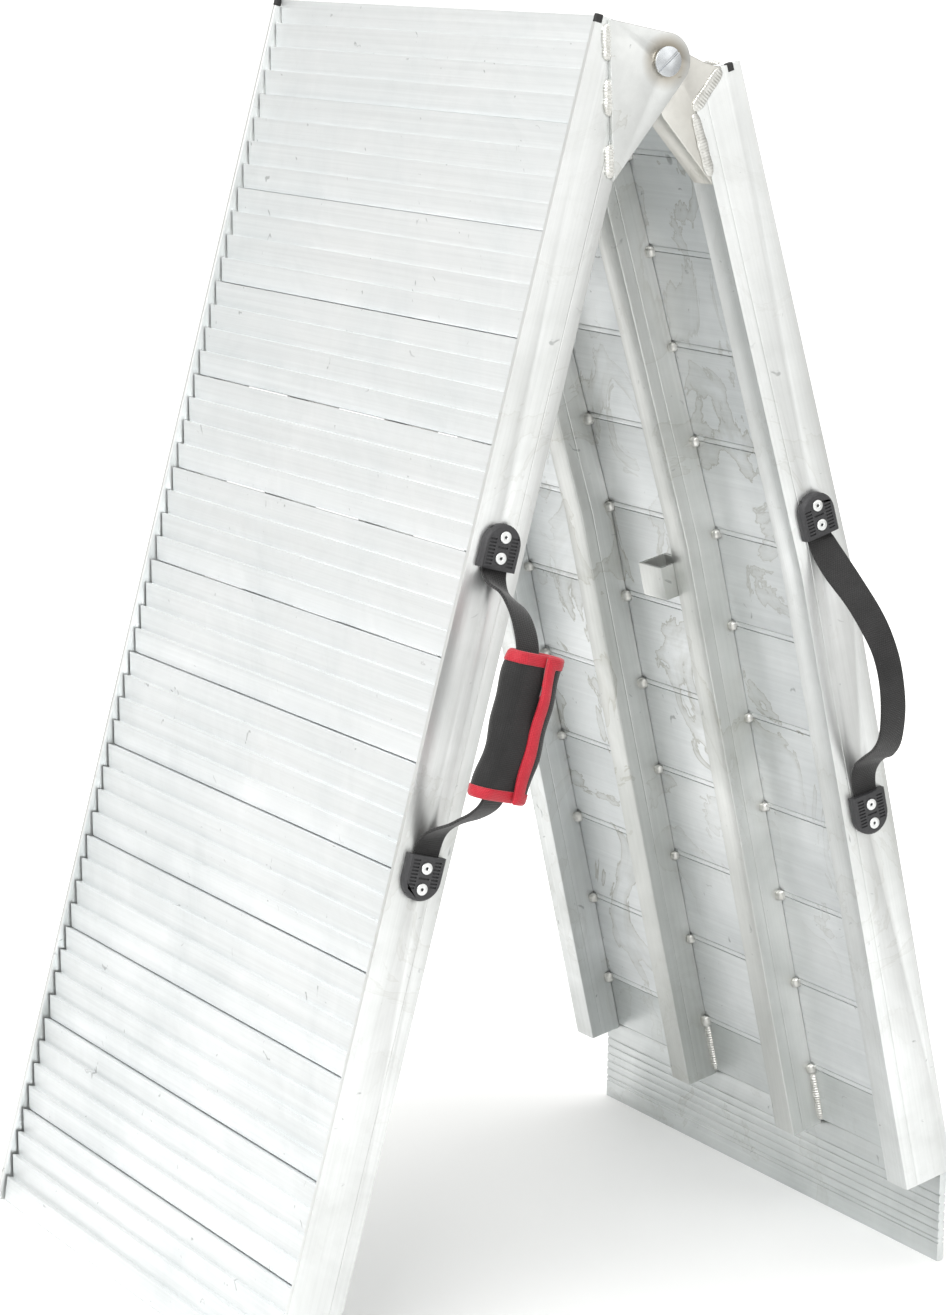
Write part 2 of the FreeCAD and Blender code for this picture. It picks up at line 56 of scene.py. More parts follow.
def node(tree, kind, inputs=None, **settings):
    """Adds one node, gives it its settings, and fills or links its inputs, by name or by number."""
    made = tree.nodes.new(kind)
    for key, value in settings.items():
        setattr(made, key, value)
    for key, value in (inputs or {}).items():
        if isinstance(value, bpy.types.NodeSocket):
            tree.links.new(value, made.inputs[key])
        else:
            made.inputs[key].default_value = value
    return made


def blank_material(name):
    """A material with an empty node tree, and that tree."""
    made = bpy.data.materials.new(name)
    made.use_nodes = True
    made.node_tree.nodes.clear()
    return made, made.node_tree


def put_mesh(name, points, faces, material):
    """A mesh object at the origin from points in metres and lists of corner numbers."""
    mesh = bpy.data.meshes.new(name)
    mesh.from_pydata(np.asarray(points, float).tolist(), [], [list(map(int, f)) for f in faces])
    mesh.polygons.foreach_set("use_smooth", [True] * len(mesh.polygons))
    mesh.materials.append(material)
    made = bpy.data.objects.new(name, mesh)
    bpy.context.scene.collection.objects.link(made)
    return made


paper, tree = blank_material("seamless studio paper, matt")
grain = node(tree, "ShaderNodeTexNoise", {"Scale": 3.0, "Detail": 2.0})
tone = node(tree, "ShaderNodeMix", {0: grain.outputs["Fac"], 6: linear("#F6F7F7"), 7: linear("#FAFAFA")},
            data_type="RGBA")
spot = node(tree, "ShaderNodeTexCoord")
away = node(tree, "ShaderNodeVectorMath", {0: spot.outputs["Object"]}, operation="LENGTH")
# painted shade round the ramp: the floor's glow is weakest near the middle and grows outwards
painted_floor_glow = node(tree, "ShaderNodeMapRange", {0: away.outputs["Value"], 1: 0.35, 2: 1.3, 3: 0.1, 4: 0.6})
# painted glow: the paper glows for camera rays only, rising from 0.1 near the ramp to 0.6 beyond 1.3 m, so
# painted shade lies round the ramp; the metal itself reflects the unlit paper
eye_ray = node(tree, "ShaderNodeLightPath")
painted_floor_glow = node(tree, "ShaderNodeMath", {0: painted_floor_glow.outputs[0], 1: eye_ray.outputs["Is Camera Ray"]},
           operation="MULTIPLY")
surface = node(tree, "ShaderNodeBsdfPrincipled", {"Base Color": tone.outputs[2], "Roughness": 0.42,
                                                  "Specular IOR Level": 0.35, "Emission Color": (1, 1, 1, 1),
                                                  "Emission Strength": painted_floor_glow.outputs[0]})
node(tree, "ShaderNodeOutputMaterial", {"Surface": surface.outputs[0]})
reach = 60
corners = [(-reach, -reach, 0), (reach, -reach, 0), (reach, reach, 0), (-reach, reach, 0)]
floor = put_mesh("studio_floor", corners, [(0, 1, 2, 3)], paper)

world = bpy.data.worlds.new("white room")
bpy.context.scene.world = world
world.use_nodes = True
tree = world.node_tree
tree.nodes.clear()
where = node(tree, "ShaderNodeTexCoord")
# the room is brightest towards -X, and falls to 0.62 of that towards +X
facing = node(tree, "ShaderNodeSeparateXYZ", {0: where.outputs["Generated"]})
side = node(tree, "ShaderNodeMapRange", {0: facing.outputs[0], 1: -1.0, 2: 1.0, 3: 1.0, 4: 0.62})
glow = node(tree, "ShaderNodeBackground", {"Color": linear("#FFFEFB"), "Strength": side.outputs[0]})
plain = node(tree, "ShaderNodeBackground", {"Color": (1, 1, 1, 1), "Strength": 1.0})
ray = node(tree, "ShaderNodeLightPath")
seen = node(tree, "ShaderNodeMixShader", {0: ray.outputs["Is Camera Ray"], 1: glow.outputs[0],
                                          2: plain.outputs[0]})
node(tree, "ShaderNodeOutputWorld", {"Surface": seen.outputs[0]})

# each soft box: its place and size in metres, and its power in watts
boxes = (("key_box", (-2.6, -1.9, 3.0), 2.6, 95.0),
         ("fill_box", (1.2, -3.6, 1.6), 2.2, 12.0),
         ("top_box", (0.3, 0.6, 3.6), 3.0, 60.0))
aim = Vector((0, 0, 0.4))
for name, place, size, power in boxes:
    lamp = bpy.data.lights.new(name, "AREA")
    lamp.shape = "SQUARE"
    lamp.size = size
    lamp.energy = power
    holder = bpy.data.objects.new(name, lamp)
    holder.location = place
    holder.rotation_euler = (aim - Vector(place)).to_track_quat("-Z", "Y").to_euler()
    bpy.context.scene.collection.objects.link(holder)

yaw = 0.5330
pitch = 0.1923
roll = 0.0132
ahead = Vector((math.sin(yaw) * math.cos(pitch), math.cos(yaw) * math.cos(pitch), -math.sin(pitch)))
level = Vector((math.cos(yaw), -math.sin(yaw), 0))
rise = level.cross(ahead)
across = level * math.cos(roll) + rise * math.sin(roll)
upward = rise * math.cos(roll) - level * math.sin(roll)
eye = bpy.data.cameras.new("camera")
eye.sensor_fit = "HORIZONTAL"
eye.sensor_width = 36.0
eye.lens = 142.65
eye.clip_end = 200.0
camera = bpy.data.objects.new("camera", eye)
turned = Matrix((across, upward, -ahead)).transposed().to_4x4()
camera.matrix_world = Matrix.Translation((-1.4408, -2.4065, 1.0149)) @ turned
bpy.context.scene.collection.objects.link(camera)
bpy.context.scene.camera = camera
bpy.context.scene.view_settings.view_transform = "Standard"


# ---- where the two halves lie. Both hang on one pivot line, and the upper half has a slight bend after its
# fifth plank. A piece is drawn by s, down its half from the deck end, t, in from the rail top, and y.
lower_tilt = math.radians(14.7)
upper_tilt = math.radians(16.82)
crown = math.radians(3.4)
bend_s = 0.3762
pivot_deep = 0.0615
pivot_past_end = 0.0172
pivot_before_end = 0.0184
plank_deep = 0.0155
low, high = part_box("pivot_bolt_near")
pivot = np.array([(low.x + high.x) / 2, 0.0, (low.z + high.z) / 2])
left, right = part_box("upper_lip")
middle_y = (left.y + right.y) / 2
half_w = (right.y - left.y) / 2
pivot[1] = middle_y


def along(angle):
    """Unit vector down a half that leans by angle towards +X."""
    return np.array([math.sin(angle), 0.0, -math.cos(angle)])


low_s = along(-lower_tilt)
low_t = np.array([math.cos(lower_tilt), 0.0, -math.sin(lower_tilt)])
up_s = along(upper_tilt)
up_t = np.array([-math.cos(upper_tilt), 0.0, -math.sin(upper_tilt)])
end_s = along(upper_tilt - crown)
end_t = np.array([-math.cos(upper_tilt - crown), 0.0, -math.sin(upper_tilt - crown)])
knee = pivot + up_s * (bend_s + pivot_before_end) + up_t * (plank_deep - pivot_deep)
y_axis = np.array([0.0, 1.0, 0.0])


def lower_at(s, t, y):
    """Point of the lower half: pivot plus (s - 17.2 mm) along it plus (t - 61.5 mm) into it."""
    return pivot + low_s * (s - pivot_past_end) + low_t * (t - pivot_deep) + y_axis * y


def upper_at(s, t, y):
    """Point of the upper half: as lower_at from 18.4 mm past the pivot, and past the bend from the knee."""
    if s <= bend_s:
        return pivot + up_s * (s + pivot_before_end) + up_t * (t - pivot_deep) + y_axis * y
    return knee + end_s * (s - bend_s) + end_t * (t - plank_deep) + y_axis * y


def flat_place(points, half):
    """(s, t, y) of many points: their offsets from the pivot or the knee measured on the half's own axes."""
    off = points - pivot
    if half == "lower_half":
        return np.stack([off @ low_s + pivot_past_end, off @ low_t + pivot_deep, off[:, 1]], axis=1)
    first = np.stack([off @ up_s - pivot_before_end, off @ up_t + pivot_deep, off[:, 1]], axis=1)
    past = points - knee
    second = np.stack([past @ end_s + bend_s, past @ end_t + plank_deep, off[:, 1]], axis=1)
    return np.where((second[:, :1] > bend_s), second, first)


def set_place(made, half):
    """Stores (s, t, y) at each point, for patterns that run with the metal."""
    mesh = made.data
    points = np.empty(len(mesh.vertices) * 3)
    mesh.vertices.foreach_get("co", points)
    place = mesh.attributes.new("place", "FLOAT_VECTOR", "POINT")
    place.data.foreach_set("vector", flat_place(points.reshape(-1, 3), half).astype(np.float32).ravel())


def eased(node_name, half, material, radius):
    """The CAD piece with its doubled corners merged and its edges broken by radius metres.

    It rides its half, hides the node it was copied from, and takes the given material.
    """
    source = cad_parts[node_name].data
    mesh = bpy.data.meshes.new(node_name + "_finished")
    work = bmesh.new()
    work.from_mesh(source)
    bmesh.ops.remove_doubles(work, verts=work.verts, dist=1e-6)
    bmesh.ops.dissolve_limit(work, angle_limit=math.radians(0.6), verts=work.verts, edges=work.edges)
    work.to_mesh(mesh)
    work.free()
    mesh.materials.clear()
    mesh.materials.append(material)
    mesh.polygons.foreach_set("material_index", [0] * len(mesh.polygons))
    mesh.polygons.foreach_set("use_smooth", [True] * len(mesh.polygons))
    made = bpy.data.objects.new(node_name + "_finished", mesh)
    bpy.context.scene.collection.objects.link(made)
    set_place(made, half)
    soften = made.modifiers.new("broken edges", "BEVEL")
    soften.width = radius
    soften.segments = 2
    soften.limit_method = "ANGLE"
    soften.angle_limit = math.radians(35)
    soften.harden_normals = True
    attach(made, half)
    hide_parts(node_name)
    return made


# ---- side rails and stringers: 25 mm box tube in mill-finish aluminium, sawn to length.
# Extruded metal keeps faint die lines along it, and handling leaves scuffs, dents and dull water marks.
def mill_aluminium(name, colour, dull, run, rough, stain, line_at=None, wet_from=-1.0, halo=None):
    """Mottled bare aluminium, its tone drifting between dull and colour.

    run is the die lines' scale, in cells a metre, along (s, t, y). stain is how strong the water marks are,
    and wet_from the depth t they start at. line_at is the depth of a fine groove, and halo the (s, t) that a
    dirty ring lies round.
    """
    made, tree = blank_material(name)
    place = node(tree, "ShaderNodeAttribute", attribute_name="place")
    drawn = node(tree, "ShaderNodeMapping", {"Vector": place.outputs["Vector"], "Scale": run})
    lines = node(tree, "ShaderNodeTexNoise", {"Vector": drawn.outputs[0], "Scale": 1.0, "Detail": 4.0,
                                              "Roughness": 0.7})
    cloud = node(tree, "ShaderNodeTexNoise", {"Vector": place.outputs["Vector"], "Scale": 9.0, "Detail": 5.0,
                                              "Roughness": 0.6, "Distortion": 0.6})
    shade = node(tree, "ShaderNodeMapRange", {0: cloud.outputs["Fac"], 1: 0.3, 2: 0.72, 3: 0.0, 4: 1.0})
    body = node(tree, "ShaderNodeMix", {0: shade.outputs[0], 6: linear(dull), 7: linear(colour)},
                data_type="RGBA")
    streak = node(tree, "ShaderNodeMapRange", {0: lines.outputs["Fac"], 1: 0.35, 2: 0.7, 3: 0.94, 4: 1.02})
    drawn_body = node(tree, "ShaderNodeVectorMath", {0: body.outputs[2], "Scale": streak.outputs[0]},
                      operation="SCALE")
    # water marks: a thin brown rim where a drying puddle stopped, fading inwards
    puddle = node(tree, "ShaderNodeTexNoise", {"Vector": place.outputs["Vector"], "Scale": 11.0,
                                               "Detail": 6.0, "Roughness": 0.55, "Distortion": 1.4})
    rim = node(tree, "ShaderNodeValToRGB", {0: puddle.outputs["Fac"]})
    ramp = rim.color_ramp
    for at, value in ((0.545, 0.0), (0.552, 1.0), (0.566, 0.35), (0.66, 0.0)):
        stop = ramp.elements.new(at)
        stop.color = (value, value, value, 1)
    ramp.elements.remove(ramp.elements[0])
    ramp.elements.remove(ramp.elements[-1])
    patch = node(tree, "ShaderNodeTexNoise", {"Vector": place.outputs["Vector"], "Scale": 3.1, "Detail": 2.0})
    where_wet = node(tree, "ShaderNodeMapRange", {0: patch.outputs["Fac"], 1: 0.42, 2: 0.6, 3: 0.0, 4: stain})
    wet = node(tree, "ShaderNodeMath", {0: rim.outputs["Color"], 1: where_wet.outputs[0]},
               operation="MULTIPLY")
    axes = node(tree, "ShaderNodeSeparateXYZ", {0: place.outputs["Vector"]})
    # the marks start at depth wet_from, and above it they are faint
    below = node(tree, "ShaderNodeMapRange", {0: axes.outputs[1], 1: wet_from - 0.001, 2: wet_from, 3: 0.06,
                                              4: 1.0})
    wet = node(tree, "ShaderNodeMath", {0: wet.outputs[0], 1: below.outputs[0]}, operation="MULTIPLY")
    marked = node(tree, "ShaderNodeMix", {0: wet.outputs[0], 6: drawn_body.outputs[0], 7: linear("#8F8A74")},
                  data_type="RGBA")
    # scuffs: short dark touches left by handling
    specks = node(tree, "ShaderNodeTexNoise", {"Vector": place.outputs["Vector"], "Scale": 85.0,
                                               "Detail": 2.0,
                                               "Distortion": 1.0})
    scuff = node(tree, "ShaderNodeMapRange", {0: specks.outputs["Fac"], 1: 0.72, 2: 0.78, 3: 0.0, 4: 0.5})
    final = node(tree, "ShaderNodeMix", {0: scuff.outputs[0], 6: marked.outputs[2], 7: linear("#8B8E8E")},
                 data_type="RGBA")
    satin = node(tree, "ShaderNodeMapRange", {0: cloud.outputs["Fac"], 1: 0.3, 2: 0.7, 3: rough + 0.09,
                                              4: rough - 0.06})
    normal = node(tree, "ShaderNodeBump", {"Strength": 0.08, "Distance": 0.0004,
                                           "Height": lines.outputs["Fac"]})
    if line_at is not None:
        off = node(tree, "ShaderNodeMath", {0: axes.outputs[1], 1: line_at}, operation="SUBTRACT")
        off = node(tree, "ShaderNodeMath", {0: off.outputs[0]}, operation="ABSOLUTE")
        groove = node(tree, "ShaderNodeMapRange", {0: off.outputs[0], 1: 0.0002, 2: 0.0006, 3: 0.0, 4: 1.0})
        normal = node(tree, "ShaderNodeBump", {"Strength": 0.5, "Distance": 0.0005,
                                               "Height": groove.outputs[0], "Normal": normal.outputs[0]})
    if halo is not None:
        # dirt and water held beside the bolt's head: a brown ring that fades outwards and breaks up
        aside = node(tree, "ShaderNodeVectorMath", {0: place.outputs["Vector"], 1: (*halo, 0.0)},
                     operation="SUBTRACT")
        in_face = node(tree, "ShaderNodeVectorMath", {0: aside.outputs[0], 1: (1, 1, 0)},
                       operation="MULTIPLY")
        reach = node(tree, "ShaderNodeVectorMath", {0: in_face.outputs[0]}, operation="LENGTH")
        ring = node(tree, "ShaderNodeMapRange",
                    {0: reach.outputs["Value"], 1: 0.0105, 2: 0.021, 3: 0.95, 4: 0.0})
        broken = node(tree, "ShaderNodeMapRange", {0: cloud.outputs["Fac"], 1: 0.35, 2: 0.6, 3: 0.15, 4: 0.8})
        held = node(tree, "ShaderNodeMath", {0: ring.outputs[0], 1: broken.outputs[0]}, operation="MULTIPLY")
        final = node(tree, "ShaderNodeMix", {0: held.outputs[0], 6: final.outputs[2], 7: linear("#8A7A5C")},
                     data_type="RGBA")
    surface = node(tree, "ShaderNodeBsdfPrincipled", {"Base Color": final.outputs[2], "Metallic": 1.0,
                                                      "Roughness": satin.outputs[0], "Normal": normal.outputs[0]})
    node(tree, "ShaderNodeOutputMaterial", {"Surface": surface.outputs[0]})
    return made


# extruded tube: die lines 2 to 4 mm apart run its whole length, so the pattern is stretched along s
along_tube = (2.5, 320.0, 320.0)
groove_at = 0.0336
tube_metal = mill_aluminium("mill finish extruded tube", "#F1F3F3", "#DCDEDD", along_tube, 0.42, 0.14,
                            groove_at)
# the same tube drawn darker for the stringers and the spacer under the deck: the darker tones are painted shade,
# the stronger water marks are stains
shaded_tube_metal = mill_aluminium("mill finish tube, painted shade under the deck", "#E4E5E3", "#CDCFCC", along_tube, 0.4, 0.35,
                             groove_at)
for half in ("lower", "upper"):
    for hand in ("near", "far"):
        eased(f"{half}_side_rail_{hand}", half + "_half", tube_metal, 0.0007)
        eased(f"{half}_stringer_{hand}", half + "_half", shaded_tube_metal, 0.0009)

# ---- deck planks: hollow aluminium extrusions laid across the rails, each top a row of four sawteeth.
# The die lines run across the ramp. Paws scuff the tops bright, and the undersides hold water marks.
across_plank = (260.0, 260.0, 2.2)
plank_metal = mill_aluminium("mill finish extruded plank", "#F6F8F9", "#E6E9EA", across_plank, 0.52, 0.5,
                             wet_from=0.0148)
plank_edge = 0.00013
for number in range(1, 13):
    eased(f"lower_tread_{number:02d}", "lower_half", plank_metal, plank_edge)
eased("lower_foot_tread", "lower_half", plank_metal, plank_edge)
for number in range(1, 12):
    eased(f"upper_tread_{number:02d}", "upper_half", plank_metal, plank_edge)

# ---- the lip: one wide extrusion let in between the upper rails and bent down past them.
# Its tongue is ribbed on both faces to grip a tailgate.
lip_metal = mill_aluminium("mill finish ribbed extrusion", "#E6E9E9", "#D0D4D4", across_plank, 0.42, 0.25)
eased("upper_lip", "upper_half", lip_metal, 0.0003)


# ---- welds: every joint of the frame is puddle-welded by hand with aluminium filler.
# A run is a row of overlapping ripples; where planks meet the frame it is one short blob in the corner.
bead_metal, tree = blank_material("aluminium weld bead, as laid")
spot = node(tree, "ShaderNodeTexCoord")
soot = node(tree, "ShaderNodeTexNoise", {"Vector": spot.outputs["Object"], "Scale": 240.0, "Detail": 3.0})
tone = node(tree, "ShaderNodeMix", {0: soot.outputs["Fac"], 6: linear("#AFAEA8"), 7: linear("#F0F0ED")},
            data_type="RGBA")
rugged = node(tree, "ShaderNodeBump", {"Strength": 0.35, "Distance": 0.0006, "Height": soot.outputs["Fac"]})
surface = node(tree, "ShaderNodeBsdfPrincipled",
               {"Base Color": tone.outputs[2], "Metallic": 1.0, "Roughness": 0.33,
                                                  "Normal": rugged.outputs[0]})
node(tree, "ShaderNodeOutputMaterial", {"Surface": surface.outputs[0]})
draw = np.random.default_rng(11)
ripple_pitch = 0.0022
long_run = 0.02


def bead(place, start, end, outward, width, height, step=0.0004, around=12):
    """Closed bead from start to end, (s, t, y) in metres, standing off towards outward.

    With d the distance along it and x in -1..1 across it, the height is height * k * sqrt(1 - x^2) with
    ripples 0.16 * sin(2 pi (d + 0.6 |x| width) / pitch), and k = (1 - |2 d / length - 1|^6)^0.5 closes the
    ends. A blob shorter than 20 mm has fainter ripples and rounder ends, with 0.1 and power 3.
    """
    start = np.array(place(*start))
    end = np.array(place(*end))
    run = end - start
    length = float(np.linalg.norm(run))
    run = run / length
    up = outward - run * float(outward @ run)
    up = up / np.linalg.norm(up)
    across = np.cross(up, run)
    count = max(7, int(length / step))
    u = np.linspace(-1, 1, count)
    d = (u + 1) / 2 * length
    k = np.sqrt(np.clip(1 - np.abs(u) ** (6 if length > long_run else 3), 0, None)) + 1e-3
    turn = np.linspace(0, 2 * math.pi, around, endpoint=False)
    x = np.cos(turn)[None, :]
    wave = np.sin(2 * math.pi * (d[:, None] + 0.6 * np.abs(x) * width) / ripple_pitch + draw.uniform(0, 6))
    wave = wave * (0.16 if length > long_run else 0.1)
    lump = 1 + 0.12 * np.interp(d, np.linspace(0, length, 7), draw.uniform(-1, 1, 7))[:, None]
    z = np.where(np.sin(turn) > 0, np.sin(turn), 0.6 * np.sin(turn))[None, :] * (1 + wave) * lump
    points = (start + run * d[:, None])[:, None, :] + across * (x * lump * k[:, None] * width / 2)[..., None]
    points = points + up * (z * k[:, None] * height)[..., None]
    return points.reshape(-1, 3), count, around


def bead_faces(count, around, first):
    """Quads of a closed tube of count rings, fans at both ends, corner numbers from first."""
    ring = np.arange(count * around).reshape(count, around) + first
    after = np.roll(ring, -1, axis=1)
    quads = np.stack([ring[:-1], ring[1:], after[1:], after[:-1]], axis=-1).reshape(-1, 4).tolist()
    return quads + [ring[0].tolist(), ring[-1][::-1].tolist()]


def face_outwards(piece):
    """Turns every face of a closed mesh outwards."""
    shell = bmesh.new()
    shell.from_mesh(piece.data)
    bmesh.ops.recalc_face_normals(shell, faces=shell.faces)
    shell.to_mesh(piece.data)
    shell.free()


def weld(name, half, beads):
    """One mesh of many beads, riding its half."""
    points = []
    faces = []
    first = 0
    for made, count, around in beads:
        points.append(made)
        faces += bead_faces(count, around, first)
        first += len(made)
    piece = put_mesh(name, np.concatenate(points), faces, bead_metal)
    face_outwards(piece)
    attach(piece, half)


# one blob at each joint between planks, in every corner under it: beside each rail and on both sides of a
# stringer
pitch_s = 0.076
trim = 0.0038
tube_wide = 0.0254
edge_y = 0.0885
inner_rail = half_w - tube_wide
inner_edge = edge_y - tube_wide
blob_off = 0.0018
lower_joints = [k * pitch_s for k in range(1, 13)]
upper_joints = [k * pitch_s - trim for k in range(1, 12)]
decks = (("lower", lower_at, lower_joints, low_t), ("upper", upper_at, upper_joints, up_t))
for half, place, joints, t_axis in decks:
    dots = []
    for s in joints:
        for side in (-1, 1):
            for face, way in ((inner_rail, -1), (edge_y, 1), (inner_edge, -1)):
                slack = draw.uniform(-0.001, 0.001)
                size = draw.uniform(0.0085, 0.0105)
                outward = t_axis + y_axis * side * way
                corner = (plank_deep + blob_off, side * (face + way * blob_off))
                start = (s + slack - size / 2, *corner)
                end = (s + slack + size / 2, *corner)
                dots.append(bead(place, start, end, outward, size, 0.0032, 0.0011, 8))
    weld(half + "_plank_welds", half + "_half", dots)

upper_runs = []


def upper_run(start, end, outward, width, height):
    """Adds one bead of the upper half, (s, t, y) to (s, t, y)."""
    upper_runs.append(bead(upper_at, start, end, outward, width, height))


lip_joint = 0.881
for side in (-1, 1):
    # the stringers' lower ends: along both sides, and across the end beside the lip
    for face, way in ((edge_y, 1), (inner_edge, -1)):
        corner = (plank_deep, side * face)
        upper_run((0.834, *corner), (0.879, *corner), up_t + y_axis * side * way, 0.009, 0.003)
    end_t_at = plank_deep + 0.002
    upper_run((lip_joint, end_t_at, side * (edge_y - 0.022)), (lip_joint, end_t_at, side * (edge_y - 0.003)),
              up_t + end_s, 0.009, 0.003)
    # the rail's lower end
    rail_joint = lip_joint + 0.0005
    rail_t_at = plank_deep + 0.001
    upper_run((rail_joint, rail_t_at, side * (half_w - 0.022)),
              (rail_joint, rail_t_at, side * (half_w - 0.004)),
              up_t + end_s, 0.009, 0.0028)
    # the hinge block's chevron: down the mitre and then along the underside, on both faces of the rail
    for y, out in ((half_w - 0.0003, 1), (inner_rail + 0.0003, -1)):
        facing = y_axis * side * out
        upper_run((0.0012, 0.0168, side * y), (0.0225, 0.0462, side * y), facing, 0.0095, 0.0018)
        upper_run((0.024, 0.0462, side * y), (0.071, 0.0446, side * y), facing, 0.0085, 0.0018)
    # a tack across the block's top
    upper_run((-0.0022, 0.0152, side * (half_w - 0.022)), (-0.0022, 0.0152, side * (half_w - 0.004)),
              -up_s, 0.006, 0.0016)
# the spacer block's two tacks against the stringer
block_s = 5.27 * pitch_s - trim
block_long = 0.0265
for s, way in ((block_s, -1), (block_s + block_long, 1)):
    upper_run((s, 0.032, -inner_edge), (s, 0.0435, -inner_edge), y_axis + end_s * way, 0.006, 0.0022)
weld("upper_frame_welds", "upper_half", upper_runs)

# ---- hinge plates: four sawn aluminium plates lapped on both faces of the lower rails.
# Each is stitch-welded along its slanted edge, and water has left a brown halo beside the bolt.
plate_metal = mill_aluminium("sawn aluminium plate", "#E4E6E5", "#D3D5D4", (60.0, 60.0, 60.0), 0.4, 0.5,
                             halo=(pivot_past_end, pivot_deep))
for where in ("outer", "inner"):
    for hand in ("near", "far"):
        eased(f"lower_hinge_plate_{where}_{hand}", "lower_half", plate_metal, 0.0006)
plate_runs = []
plate_foot = np.array([0.107, 0.0424])
outer_top = np.array([0.0009, 0.0085])
inner_top = np.array([0.0165, 0.016])
weld_proud = 0.0006
rail_deep = 0.044
# three stitches on each slanted edge, as shares of it, and one tack across the rail's underside near its foot
stitches = ((0.03, 0.26), (0.37, 0.60), (0.77, 0.985))
for side in (-1, 1):
    for top, y, out in ((outer_top, half_w, 1), (inner_top, inner_rail, -1)):
        for first, last in stitches:
            start = top + (plate_foot - top) * first
            end = top + (plate_foot - top) * last
            at_y = side * (y + out * weld_proud)
            plate_runs.append(bead(lower_at, (*start, at_y), (*end, at_y), y_axis * side * out,
                                   0.0098, 0.003))
    foot = (0.921, rail_deep - 0.0006)
    plate_runs.append(bead(lower_at, (*foot, side * (half_w - 0.022)), (*foot, side * (half_w - 0.004)),
                           low_t, 0.006, 0.002))
weld("lower_frame_welds", "lower_half", plate_runs)

# ---- hinge blocks: thick sawn aluminium bars welded across the mitred ends of the upper rails.
# Their sides are rubbed smooth and beige-grey by hands. A short tube offcut is welded in as a spacer.
block_metal = mill_aluminium("sawn aluminium bar, handled", "#DEDDD8", "#C9C7C0", (90.0, 90.0, 90.0), 0.42,
                             0.4, halo=(-pivot_before_end, pivot_deep))
for hand in ("near", "far"):
    eased(f"upper_hinge_block_{hand}", "upper_half", block_metal, 0.0007)
# the spacer takes the stringers' darker tube finish: painted shade under the deck
eased("upper_spacer_block", "upper_half", shaded_tube_metal, 0.0005)


# ---- pivot bolts: slotted steel heads outside, hexagon nuts inside, bright zinc plated.
# Zinc plate is cold and bright, with a slight blue-grey cloud.
def clouded_metal(name, bright, dull, rough, scale):
    """Metal whose tone drifts between two colours with a soft noise of the given scale."""
    made, tree = blank_material(name)
    spot = node(tree, "ShaderNodeTexCoord")
    cloud = node(tree, "ShaderNodeTexNoise", {"Vector": spot.outputs["Object"], "Scale": scale,
                                              "Detail": 3.0})
    tone = node(tree, "ShaderNodeMix", {0: cloud.outputs["Fac"], 6: linear(dull), 7: linear(bright)},
                data_type="RGBA")
    satin = node(tree, "ShaderNodeMapRange", {0: cloud.outputs["Fac"], 1: 0.3, 2: 0.7, 3: rough + 0.08,
                                              4: rough})
    surface = node(tree, "ShaderNodeBsdfPrincipled", {"Base Color": tone.outputs[2], "Metallic": 1.0,
                                                      "Roughness": satin.outputs[0]})
    node(tree, "ShaderNodeOutputMaterial", {"Surface": surface.outputs[0]})
    return made


zinc = clouded_metal("steel, bright zinc plated", "#DDE0E3", "#B9BDC1", 0.2, 160.0)
for hand in ("near", "far"):
    eased(f"pivot_bolt_{hand}", "lower_half", zinc, 0.0006)
    eased(f"pivot_nut_{hand}", "lower_half", zinc, 0.0007)


# ---- stop pads: small near-black blocks let into the ends of the rail flanges, painted shade of the flanges' open channel ends.
# They are matt, with a faint lighter grain.
def matt(name, base, worn, rough, scale, depth):
    """Non-metal with a fine grain: base where the noise is high, worn where it is low, and its bump."""
    made, tree = blank_material(name)
    spot = node(tree, "ShaderNodeTexCoord")
    grain = node(tree, "ShaderNodeTexNoise", {"Vector": spot.outputs["Object"], "Scale": scale,
                                              "Detail": 3.0})
    tone = node(tree, "ShaderNodeMix", {0: grain.outputs["Fac"], 6: linear(worn), 7: linear(base)},
                data_type="RGBA")
    relief = node(tree, "ShaderNodeBump", {"Strength": 0.3, "Distance": depth,
                                           "Height": grain.outputs["Fac"]})
    surface = node(tree, "ShaderNodeBsdfPrincipled", {"Base Color": tone.outputs[2], "Roughness": rough,
                                                      "Specular IOR Level": 0.4, "Normal": relief.outputs[0]})
    node(tree, "ShaderNodeOutputMaterial", {"Surface": surface.outputs[0]})
    return made


# painted shade: near-black blocks standing for the dark open ends of the flange channels
channel_shade_black = matt("near black, painted shade of the open flange ends", "#232323", "#3A3A3A", 0.72, 500.0, 0.0003)
for half in ("lower", "upper"):
    for hand in ("near", "far"):
        eased(f"{half}_stop_pad_{hand}", half + "_half", channel_shade_black, 0.0005)

# ---- handle straps: flat black webbing, each from cap to cap and bowed off its rail.
# Handling has twisted them a little, so each strap is drawn by its two edges. Woven nylon shows a fine twill.
handle_ends = {"lower": (lower_at, 0.4897), "upper": (upper_at, 0.4541)}
spread = 0.1185
rail_middle = 0.022


def handle_frame(half):
    """Middle of the handle on the rail face, unit vector down it, and unit vector across it to the right."""
    place, middle = handle_ends[half]
    top = place(middle - spread, rail_middle, -half_w)
    bottom = place(middle + spread, rail_middle, -half_w)
    chord = (bottom - top) / np.linalg.norm(bottom - top)
    return (top + bottom) / 2, chord, np.array([-chord[2], 0.0, chord[0]])


